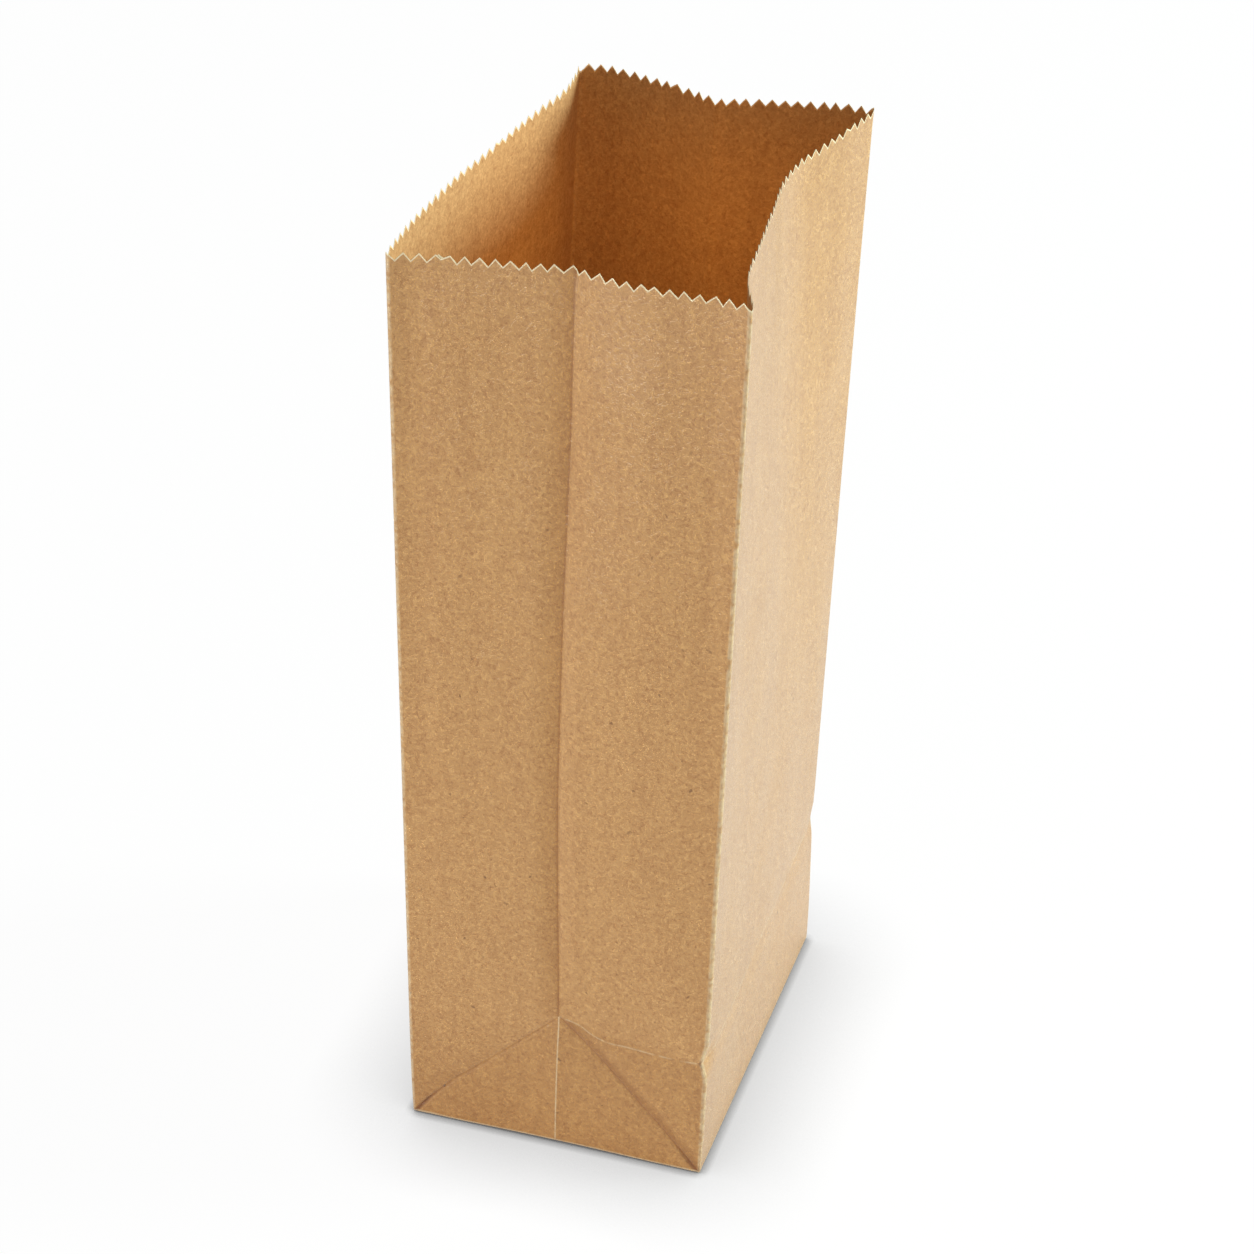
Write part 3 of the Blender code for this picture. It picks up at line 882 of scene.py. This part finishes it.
class Value:
    """One output in a shader tree. The usual signs and the calls below each add one node."""

    def __init__(self, socket):
        self.socket = socket

    def math(self, operation, *others, clamp=False):
        """Math node on this value and up to two others."""
        made = node(self.socket.id_data, "ShaderNodeMath", operation=operation, use_clamp=clamp)
        for socket, value in zip(made.inputs, (self, *others)):
            wire(socket, value)
        return Value(made.outputs[0])

    def __add__(self, other):
        return self.math("ADD", other)

    def __sub__(self, other):
        return self.math("SUBTRACT", other)

    def __rsub__(self, other):
        return self.math("MULTIPLY_ADD", -1.0, other)

    def __mul__(self, other):
        return self.math("MULTIPLY", other)

    def __truediv__(self, other):
        return self.math("DIVIDE", other)

    def __abs__(self):
        return self.math("ABSOLUTE")

    def most(self, other):
        """The larger of two."""
        return self.math("MAXIMUM", other)

    def least(self, other):
        """The smaller of two."""
        return self.math("MINIMUM", other)

    def over(self, limit):
        """One where this lies over the limit, else nothing."""
        return self.math("GREATER_THAN", limit)

    def under(self, limit):
        """One where this lies under the limit, else nothing."""
        return self.math("LESS_THAN", limit)

    def scaled(self, factor, offset, clamp=False):
        """This times the factor, plus the offset."""
        return self.math("MULTIPLY_ADD", factor, offset, clamp=clamp)

    def fade(self, start, end):
        """One below the start and nothing above the end, smoothly in between."""
        return node(
            self.socket.id_data, "ShaderNodeMapRange", "Result", Value=self, From_Min=start,
            From_Max=end, To_Min=1.0, To_Max=0.0, interpolation_type="SMOOTHSTEP",
        )


def wire(socket, value):
    """Link a value to an input, or write a plain number or colour into it."""
    if isinstance(value, Value):
        socket.id_data.links.new(value.socket, socket)
    else:
        socket.default_value = value


def fill(made, **values):
    """Fill in a node. A name is one of its settings, or else one of its inputs, with _ for a
    space or as a number after the letter i."""
    for key, value in values.items():
        if hasattr(made, key):
            setattr(made, key, value)
        else:
            wire(made.inputs[int(key[1:]) if key[1:].isdigit() else key.replace("_", " ")], value)


def node(tree, kind, output=None, **values):
    """New node, filled in. With an output named, that output comes back as a value."""
    made = tree.nodes.new(kind)
    fill(made, **values)
    return made if output is None else Value(made.outputs[output])


def outputs(made, *names):
    """Some outputs of a node as values."""
    return [Value(made.outputs[name]) for name in names]


def mix_colour(tree, factor, first, second, blend="MIX"):
    """Mix of two colours, each a value or a plain colour."""
    return node(
        tree, "ShaderNodeMix", 2, data_type="RGBA", blend_type=blend, i0=factor, i6=first, i7=second
    )


def new_group(name, vectors, numbers, results):
    """Empty shader node group with vector inputs, number inputs and number outputs."""
    group = bpy.data.node_groups.new(name, "ShaderNodeTree")
    sockets = [(label, "INPUT", "Vector") for label in vectors]
    sockets += [(label, "INPUT", "Float") for label in numbers]
    sockets += [(label, "OUTPUT", "Float") for label in results]
    for label, side, kind in sockets:
        group.interface.new_socket(name=label, in_out=side, socket_type="NodeSocket" + kind)
    return group, group.nodes.new("NodeGroupInput"), group.nodes.new("NodeGroupOutput")


# Looks of the paper


def pulp_group():
    """Kraft pulp: cloudy mottle, fine grain, curly fibres and bark flecks, all from noise on
    the coordinates given. Puts out a tone about one half, a fleck mask and a height."""
    group, given, out = new_group("kraft_pulp", ("Vector",), ("Fibre",), ("Tone", "Fleck", "Height"))
    vector, amount = outputs(given, "Vector", "Fibre")

    def noise(scale, detail, roughness, distortion=0.0):
        return node(
            group, "ShaderNodeTexNoise", "Fac", Vector=vector, Scale=scale, Detail=detail,
            Roughness=roughness, Distortion=distortion,
        )

    def strands(parts, scale, twist, low, high):
        line = abs(noise(scale, 0.0, 0.5, twist) - 0.5)
        return line.fade(*STRAND_WIDTH) * parts.fade(low, high)

    layers = [noise(*layer[:3]) for layer in TONE_LAYERS]
    tone = 0.5
    for made, layer in zip(layers, TONE_LAYERS):
        tone = (made - 0.5).scaled(layer[3], tone)
    parts = noise(STRAND_PARTS, 0.0, 0.5)
    light = strands(parts, *LIGHT_STRANDS)
    dark = strands(1.0 - parts, *DARK_STRANDS)
    for fibres, weight in ((light, LIGHT_WEIGHT), (dark, DARK_WEIGHT)):
        tone = ((fibres - 0.2) * amount).scaled(weight, tone)

    bend = node(group, "ShaderNodeTexNoise", "Color", Vector=vector, Scale=420.0, Detail=0.0)
    bent = node(
        group, "ShaderNodeVectorMath", "Vector", operation="MULTIPLY_ADD", i0=bend,
        i1=(FLECK_BEND, FLECK_BEND, FLECK_BEND), i2=vector,
    )
    cells = node(group, "ShaderNodeTexVoronoi", Vector=bent, Scale=FLECK_SCALE)
    gap, draw = outputs(cells, "Distance", "Color")
    red, green, blue = outputs(
        node(group, "ShaderNodeSeparateColor", Color=draw), "Red", "Green", "Blue"
    )
    fleck = (gap / green.scaled(*FLECK_SIZE)).fade(0.6, 1.3) * red.over(FLECK_LIMIT)
    height = light.scaled(0.9, layers[2] * 0.9)
    fill_group(
        out, Tone=tone, Fleck=fleck * blue.scaled(*FLECK_STRENGTH),
        Height=layers[1].scaled(0.5, height),
    )
    return group


def crease_group(size):
    """Lines of the folds, found from the place on the unfolded sheet. A light line along the corner
    folds, the level crease and the ridge up the foot is partly paler rubbed fibres and partly
    painted highlight; the one along the bottom edge is painted highlight. A dark line of painted
    shade lies along the middle crease and the diagonals, darkest in the pockets at their lower
    ends and in the notch at the front crease, with soft painted shade in the foot of a gusset,
    over its right-hand diagonal and in front of its middle crease."""
    group, given, out = new_group("fold_lines", ("Sheet", "Vector"), (), ("Light", "Dark"))
    place, vector = outputs(given, "Sheet", "Vector")
    path, level = outputs(node(group, "ShaderNodeSeparateXYZ", Vector=place), "X", "Y")
    half = size.depth / 2
    span = size.width / 2 + half
    slant = math.sqrt(0.5)
    patchy = node(group, "ShaderNodeTexNoise", "Fac", Vector=vector, Scale=420.0, Detail=1.0)
    patchy = (patchy - 0.5).scaled(3.0, 0.75, clamp=True)

    middle = abs(path - half).least(abs(path - (size.depth * 1.5 + size.width)))
    below = level.under(half)
    above = 1.0 - below
    in_gusset = middle.under(half)
    ridge = middle.fade(0.0, RIDGE_LINE) * below
    crease = middle.fade(0.0, CREASE_LINE) * above
    lean = middle + level - half
    side_gap = abs(lean) * slant / level.fade(0.001, 0.010).scaled(0.7, 1.0)
    diagonal = side_gap.fade(0.0, DIAGONAL_LINE) * in_gusset

    # Light lines, partly paler rubbed fibres and partly painted highlight: along the corner folds,
    # the level crease across the front panel and the ridge up the foot
    corner = abs(middle - half).least(abs(path - 2 * (size.width + size.depth)))
    worn = corner.fade(0.0003, 0.0010) * 0.75
    front = abs(path - (size.depth + size.width / 2))
    sag = group.nodes.new("ShaderNodeFloatCurve")
    curve = sag.mapping.curves[0]
    curve.points[0].location = (0.0, 0.0)
    curve.points[-1].location = (1.0, 0.0)
    for point in CREASE_SAG:
        curve.points.new(*point)
    sag.mapping.update()
    fill(sag, Value=(span - front).math("DIVIDE", half, clamp=True))
    line = Value(sag.outputs["Value"]).scaled(-0.005, half)
    across = abs(level - line).fade(0.0, 0.0006) * front.under(span) * 0.55
    # Painted highlight along the rounded bottom edge
    foot = abs(level - 0.0007).fade(0.0003, 0.0007) * 0.8
    steady = ridge.most(foot) * patchy.scaled(0.4, 0.6)
    light = (worn.most(across) * patchy).most(steady)

    # Painted shade in the notch where the front crease meets the front-left fold, and in the pockets
    # at the lower ends of the diagonals
    notch = node(
        group, "ShaderNodeVectorMath", "Vector", operation="MULTIPLY_ADD", i0=place,
        i1=(1.0, 0.28, 0.0), i2=(-size.depth + 0.0003, -0.28 * (half - 0.0003), 0.0),
    )
    notch = node(group, "ShaderNodeVectorMath", "Value", operation="LENGTH", i0=notch)
    pocket = level.fade(0.002, 0.013) * diagonal
    # Soft painted shade: a strip in front of the middle crease, a band over the right-hand diagonal,
    # and the foot of a gusset
    before = (half - path).most(0.0)
    strip = before.fade(0.0, 0.010) * above * before.over(0.0)
    rising = lean.over(0.0)
    band = (lean.most(0.0) * slant).fade(0.0, 0.0055) * rising
    band = band * path.over(half) * below * in_gusset
    left_part = rising * path.under(half)
    shade = level.fade(half - 0.003, half + 0.001) * in_gusset
    shade = shade.least(level.fade(0.008, half + 0.010).most(1.0 - left_part))
    shade = band.scaled(BAND_SHADE, shade * FOOT_SHADE)
    shade = strip.scaled(STRIP_SHADE, shade)
    # Painted shade along the middle crease and the diagonals, deepest in the pockets and the notch
    dark = (diagonal * 0.50).most(crease * 0.8)
    dark = pocket.scaled(1.5, dark).most(notch.fade(0.0002, 0.0007) * 1.8)
    fill_group(out, Light=light, Dark=dark + shade)
    return group


def fill_group(out, **results):
    """Link a group's results to its output sockets."""
    for name, value in results.items():
        wire(out.inputs[name], value)


def shaded(colour, factor, warmth=0.0):
    """A colour made darker or lighter, with its alpha. Warmth makes a darker shade also
    redder and a lighter one paler, as the factor's power grows from red to blue."""
    powers = (1.0 - 0.3 * warmth, 1.0 + 0.1 * warmth, 1.0 + 0.6 * warmth)
    return tuple(min(1.0, part * factor**power) for part, power in zip(colour, powers)) + (1.0,)


def new_material(name):
    """Material with its node tree and its shader."""
    material = bpy.data.materials.new(name)
    material.use_nodes = True
    return material, material.node_tree, material.node_tree.nodes["Principled BSDF"]


def paper_material(name, colour, look, finish, groups):
    """Uncoated kraft paper: pulp tone between a darker and a lighter shade, bark flecks, light
    fold lines of rubbed fibres and painted highlight, painted shade in the deep folds, and a pale
    band beside the cut edge, partly torn fibres and partly a painted highlight of the rim."""
    material, tree, shader = new_material(name)
    place = node(tree, "ShaderNodeTexCoord", "Object")
    where = node(tree, "ShaderNodeUVMap", "UV", uv_map="sheet")
    paper = node(tree, "ShaderNodeGroup", node_tree=groups[0], Fibre=look.fibre, Vector=place)
    pulp, fleck, height = outputs(paper, "Tone", "Fleck", "Height")
    lines = node(tree, "ShaderNodeGroup", node_tree=groups[1], Sheet=where, Vector=place)
    light, dark = outputs(lines, "Light", "Dark")

    stretched = node(tree, "ShaderNodeMapping", "Vector", Vector=where, Scale=STREAK_SCALE)
    streak = node(tree, "ShaderNodeTexNoise", "Fac", Vector=stretched, Scale=1.0, Detail=2.0)
    tone = (streak - 0.5).scaled(0.35, pulp, clamp=True)
    spread = look.contrast * finish.mottle
    pale = shaded(finish.raw_edge_and_highlight, 1.0)
    deepest = tuple(part * share for part, share in zip(colour, DEEP_SHADE)) + (1.0,)
    base = mix_colour(tree, tone, shaded(colour, 1 - spread, 1.0), shaded(colour, 1 + spread, 0.5))
    base = mix_colour(tree, fleck, base, shaded(finish.fleck, 1.0))
    # Painted shade in the folds: a soft darkening by multiply, then the deepest colour along the
    # darkest lines
    shade = dark.math("MULTIPLY", look.fold, clamp=True)
    base = mix_colour(tree, shade, base, FOLD_SHADE + (1.0,), "MULTIPLY")
    deep = dark.scaled(look.fold, -DEEP_START * look.fold, clamp=True)
    base = mix_colour(tree, deep, base, deepest)
    # Light fold lines: paler rubbed fibres and painted highlight
    base = mix_colour(tree, light * look.wear, base, pale)
    # Pale band beside the cut edge: torn fibres and a painted highlight of the rim
    cut = node(tree, "ShaderNodeAttribute", "Fac", attribute_name="below_edge")
    base = mix_colour(tree, cut.fade(*TORN_FIBRES_AND_RIM_HIGHLIGHT) * 0.94, base, pale)

    ripple = light.scaled(0.2, height)
    fill(
        shader, Base_Color=base, Roughness=pulp.scaled(-0.12, look.roughness + 0.06),
        Specular_IOR_Level=0.68, Sheen_Weight=look.sheen, Sheen_Roughness=0.45,
        Normal=node(
            tree, "ShaderNodeBump", "Normal", Strength=look.bump, Distance=0.00012, Height=ripple
        ),
    )
    return material


def edge_material(finish):
    """Cut edge of the paper: pale torn fibres with a fine grain."""
    material, tree, shader = new_material("kraft_cut_edge")
    place = node(tree, "ShaderNodeTexCoord", "Object")
    grain = node(tree, "ShaderNodeTexNoise", "Fac", Vector=place, Scale=2200.0, Detail=2.0)
    base = mix_colour(tree, grain, shaded(finish.raw_edge_and_highlight, 0.85), shaded(finish.raw_edge_and_highlight, 1.1))
    relief = node(tree, "ShaderNodeBump", "Normal", Strength=0.3, Distance=0.00005, Height=grain)
    fill(shader, Base_Color=base, Roughness=0.9, Normal=relief)
    return material


def paper_materials(context):
    """The paper's outside, inside and cut edge, made once and then reused."""
    names = ("kraft_outside", "kraft_inside", "kraft_cut_edge")
    if all(name in bpy.data.materials for name in names):
        return [bpy.data.materials[name] for name in names]
    finish = context.scene.paper_finish
    groups = (pulp_group(), crease_group(context.scene.bag_sizes))
    return [
        paper_material(names[0], tuple(finish.outside), OUTSIDE_LOOK, finish, groups),
        paper_material(names[1], tuple(finish.inside), INSIDE_LOOK, finish, groups),
        edge_material(finish),
    ]


# Floor, lamps and camera


def floor_material():
    """White floor. The camera and reflections see a white glow, darkened close to the bag by a
    painted contact shadow from ambient occlusion, and a little in its real cast shadow; other
    light meets a plain matt white."""
    material, tree, matt = new_material("studio_floor")
    fill(matt, Base_Color=(0.90, 0.90, 0.90, 1.0), Roughness=0.9, Specular_IOR_Level=0.1)
    close = node(tree, "ShaderNodeAmbientOcclusion", "AO", samples=4, Distance=0.0035)
    wide = node(tree, "ShaderNodeAmbientOcclusion", "AO", samples=4, Distance=0.045)
    # Painted contact shadow: the glow is darkened where ambient occlusion finds the bag close
    level = close.math("POWER", 1.3).scaled(0.88, 0.12) * wide.scaled(0.62, 0.38)
    glow = node(tree, "ShaderNodeEmission", "Emission", Strength=level * 1.03)
    camera, glossy, through = outputs(
        node(tree, "ShaderNodeLightPath"), "Is Camera Ray", "Is Glossy Ray", "Is Transmission Ray"
    )
    seen = camera.most(glossy).most(through) * 0.94
    plain = Value(matt.outputs["BSDF"])
    blend = node(tree, "ShaderNodeMixShader", "Shader", Fac=seen, i1=plain, i2=glow)
    fill(tree.nodes["Material Output"], Surface=blend)
    return material


def white_world(sky):
    """World that looks white and lights the bag evenly and dimly."""
    world = bpy.data.worlds.new("studio")
    bpy.context.scene.world = world
    world.use_nodes = True
    tree = world.node_tree
    camera, glossy = outputs(node(tree, "ShaderNodeLightPath"), "Is Camera Ray", "Is Glossy Ray")
    strength = camera.most(glossy).scaled(1.0 - sky, sky)
    fill(tree.nodes["Background"], Color=WHITE + (1.0,), Strength=strength)


def add_lamp(name, kind, place, power, colour):
    """Lamp of one kind, and its object."""
    lamp = bpy.data.lights.new(name, kind)
    lamp.energy = power
    lamp.color = colour
    thing = add_object(name, lamp)
    thing.location = place
    return lamp, thing


def add_panel(name, place, sides, power, colour=WHITE):
    """Rectangular soft lamp that points at the bag."""
    lamp, thing = add_lamp(name, "AREA", place, power, colour)
    lamp.shape = "RECTANGLE"
    lamp.size, lamp.size_y = sides
    aim = Vector(LAMP_TARGET) - Vector(place)
    thing.rotation_euler = aim.to_track_quat("-Z", "Y").to_euler()


def add_glow(power, colour):
    """Round lamp inside the bag that stands for the light let through by its thin walls."""
    lamp, thing = add_lamp("glow_lamp", "POINT", GLOW_PLACE, power, colour)
    lamp.shadow_soft_size = GLOW_RADIUS
    thing.visible_camera = False
    thing.visible_glossy = False


def add_camera(lens):
    """Camera at the photograph's angle: 73 degrees round from the front, 33 above."""
    azimuth, elevation, roll = (math.radians(angle) for angle in CAMERA_ANGLES)
    back = Vector(
        (
            math.sin(azimuth) * math.cos(elevation),
            -math.cos(azimuth) * math.cos(elevation),
            math.sin(elevation),
        )
    )
    right = Vector((0, 0, 1)).cross(back).normalized()
    up = back.cross(right)
    turned_right = right * math.cos(roll) + up * math.sin(roll)
    turned_up = up * math.cos(roll) - right * math.sin(roll)
    camera = bpy.data.cameras.new("camera")
    camera.lens = lens
    camera.sensor_width = 36.0
    camera.clip_start, camera.clip_end = 0.01, 50.0
    thing = add_object("camera", camera)
    basis = Matrix((turned_right, turned_up, back)).transposed()
    place = Vector(CAMERA_TARGET) + back * CAMERA_DISTANCE
    thing.matrix_world = Matrix.Translation(place) @ basis.to_4x4()
    bpy.context.scene.camera = thing


# Operators and panel


class PAPERBAG_OT_fold_sheet(bpy.types.Operator):
    """Fold the bag from its sheet"""

    bl_idname = "paperbag.fold_sheet"
    bl_label = "Fold the sheet"

    def execute(self, context):
        bag = fold_bag(context.scene.bag_sizes, paper_materials(context))
        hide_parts("paper_bag")
        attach(bag, "root")
        return {"FINISHED"}


class PAPERBAG_OT_glue_lap(bpy.types.Operator):
    """Add the sheet's other edge inside the glued lap"""

    bl_idname = "paperbag.glue_lap"
    bl_label = "Glue the lap"

    def execute(self, context):
        size = context.scene.bag_sizes
        grid, below = lap_grid(size)
        _, inside, edge = paper_materials(context)
        lap = thin_plate("lap_edge", grid[:, ::-1], size.sheet, [inside, edge], below[:, ::-1])
        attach(lap, "root")
        return {"FINISHED"}


class PAPERBAG_OT_glue_base(bpy.types.Operator):
    """Add the two flaps glued under the base"""

    bl_idname = "paperbag.glue_base"
    bl_label = "Glue the base"

    def execute(self, context):
        size = context.scene.bag_sizes
        outside, _, edge = paper_materials(context)
        for name, direction, top in (("back_flap", -1, 2), ("front_flap", 1, 1)):
            grid, below = flap_grid(size, direction, top * size.sheet)
            flap = thin_plate(name, grid, size.sheet * FLAP_THICKNESS, [outside, edge], below)
            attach(flap, "root")
        return {"FINISHED"}


class PAPERBAG_OT_set_stage(bpy.types.Operator):
    """Add the floor, the lamps, the white surroundings and the camera"""

    bl_idname = "paperbag.set_stage"
    bl_label = "Set the stage"

    def execute(self, context):
        studio = context.scene.bag_studio
        half = studio.floor_size / 2
        mesh = bpy.data.meshes.new("floor")
        corners = ((-half, -half, 0), (half, -half, 0), (half, half, 0), (-half, half, 0))
        mesh.from_pydata(corners, [], [(0, 1, 2, 3)])
        mesh.materials.append(floor_material())
        add_object("floor", mesh)
        white_world(studio.sky)
        add_panel("key_lamp", KEY_PLACE, KEY_SIDES, studio.key_power, studio.key_colour)
        add_panel("fill_lamp", FILL_PLACE, FILL_SIDES, studio.fill_power)
        add_glow(studio.glow_power, studio.glow_colour)
        add_camera(studio.lens)
        context.scene.view_settings.view_transform = "Standard"
        return {"FINISHED"}


class PAPERBAG_PT_sidebar(bpy.types.Panel):
    """Sizes, colours and steps of the paper bag"""

    bl_idname = "PAPERBAG_PT_sidebar"
    bl_label = "Paper bag"
    bl_space_type = "VIEW_3D"
    bl_region_type = "UI"
    bl_category = "Paper bag"

    def draw(self, context):
        layout = self.layout
        for name in ("bag_sizes", "paper_finish", "bag_studio"):
            group = getattr(context.scene, name)
            box = layout.box()
            for label in group.__annotations__:
                box.prop(group, label)
        for operator in OPERATORS:
            layout.operator(operator.bl_idname)


OPERATORS = (
    PAPERBAG_OT_fold_sheet,
    PAPERBAG_OT_glue_lap,
    PAPERBAG_OT_glue_base,
    PAPERBAG_OT_set_stage,
)
GROUPS = (("bag_sizes", BagSizes), ("paper_finish", PaperFinish), ("bag_studio", StudioSettings))


def register():
    """Make the settings, operators and panel known to Blender."""
    for name, group in GROUPS:
        bpy.utils.register_class(group)
        setattr(bpy.types.Scene, name, PointerProperty(type=group))
    for operator in OPERATORS:
        bpy.utils.register_class(operator)
    bpy.utils.register_class(PAPERBAG_PT_sidebar)


def unregister():
    """Take back what register made known."""
    bpy.utils.unregister_class(PAPERBAG_PT_sidebar)
    for operator in reversed(OPERATORS):
        bpy.utils.unregister_class(operator)
    for name, group in reversed(GROUPS):
        delattr(bpy.types.Scene, name)
        bpy.utils.unregister_class(group)


def main():
    register()
    bpy.ops.paperbag.fold_sheet()
    bpy.ops.paperbag.glue_lap()
    bpy.ops.paperbag.glue_base()
    bpy.ops.paperbag.set_stage()


if __name__ == "__main__":
    main()
